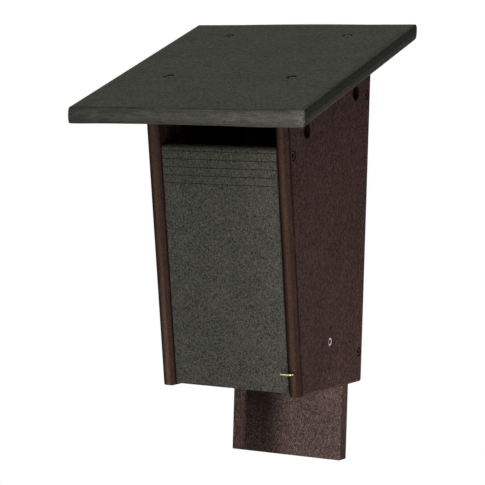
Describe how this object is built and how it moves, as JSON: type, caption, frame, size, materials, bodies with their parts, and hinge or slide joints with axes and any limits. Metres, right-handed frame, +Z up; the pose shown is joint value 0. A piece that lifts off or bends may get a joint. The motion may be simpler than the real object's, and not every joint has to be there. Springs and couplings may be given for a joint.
{
  "type": "bluebird house",
  "caption": "Nest box for bluebirds with a slot entrance under a sloping roof, a swinging front door and a turning latch hook.",
  "frame": {"origin": "on the back board's rear face, in the middle of its width, level with the feet of the side panels", "axes": "+X to the right as the door is faced, +Y out of the rear face into the post or wall, +Z up"},
  "size_m": [0.2272, 0.2244, 0.4025],
  "materials": {
    "green_board": "dark green-grey recycled plastic lumber with a fine speckle, dull satin",
    "brown_board": "dark red-brown recycled plastic lumber with a fine mottle, dull satin",
    "screw_steel": "plain stainless steel screw",
    "screw_coated": "screw with a dark brown weather coat, satin",
    "hook_brass": "bright brass wire"
  },
  "bodies": {
    "house": {"roof": "green_board", "left_side": "brown_board", "right_side": "brown_board", "back_board": "brown_board", "floor": "brown_board", "roof_screw_front_left": "screw_coated", "roof_screw_front_right": "screw_coated", "roof_screw_rear_left": "screw_coated", "roof_screw_rear_right": "screw_coated", "back_screw_upper_left": "screw_coated", "back_screw_upper_right": "screw_coated", "back_screw_lower_left": "screw_coated", "back_screw_lower_right": "screw_coated", "floor_screw_left": "screw_steel", "floor_screw_right": "screw_steel"},
    "door": {"front_door": "green_board", "pivot_screw_left": "screw_coated", "pivot_screw_right": "screw_coated"},
    "latch": {"latch_hook": "hook_brass"}
  },
  "joints": [
    {"name": "door_swing", "type": "hinge", "parent": "house", "child": "door", "pos_m": [0, -0.15562, 0.20775], "axis": [-1, 0, 0], "range_deg": [0, 110]},
    {"name": "latch_turn", "type": "hinge", "parent": "house", "child": "latch", "pos_m": [0.06315, -0.12994, 0.01889], "axis": [0, -0.9838, -0.1791], "range_deg": [-90, 90]}
  ]
}
